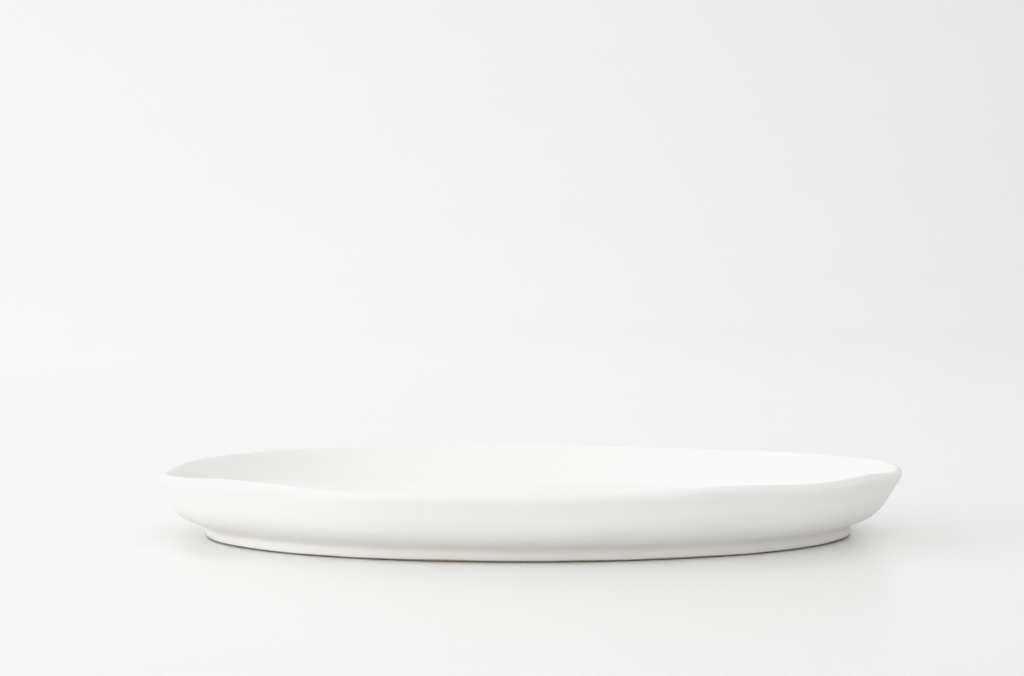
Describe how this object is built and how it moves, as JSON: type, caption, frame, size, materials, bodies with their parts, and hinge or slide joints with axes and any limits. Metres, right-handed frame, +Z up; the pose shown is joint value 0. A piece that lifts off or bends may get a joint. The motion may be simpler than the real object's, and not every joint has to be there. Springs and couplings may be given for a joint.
{
  "type": "side plate",
  "caption": "Round white glazed side plate with a flat well, a low flared wall, a gently waved lip and a low foot ring that it stands on.",
  "frame": {"origin": "centre of the foot ring's contact plane, where the plate meets the table", "axes": "+Z up out of the well, -Y towards the side seen in the picture, +X to the right in the picture"},
  "size_m": [0.1803, 0.1793, 0.0171],
  "materials": {
    "clay_body": "fired biscuit, matt, hidden under the glaze",
    "clay_slip": "fired slip, matt, hidden",
    "bare_clay": "fired bare clay, fine grain, matt",
    "white_glaze": "white glaze, satin gloss",
    "white_glaze_under": "white glaze, satin gloss"
  },
  "bodies": {
    "root": {"plate_body": "clay_body", "luting_slip": "clay_slip", "foot_ring": "bare_clay", "glaze_upper": "white_glaze", "glaze_underside": "white_glaze_under"}
  },
  "joints": []
}
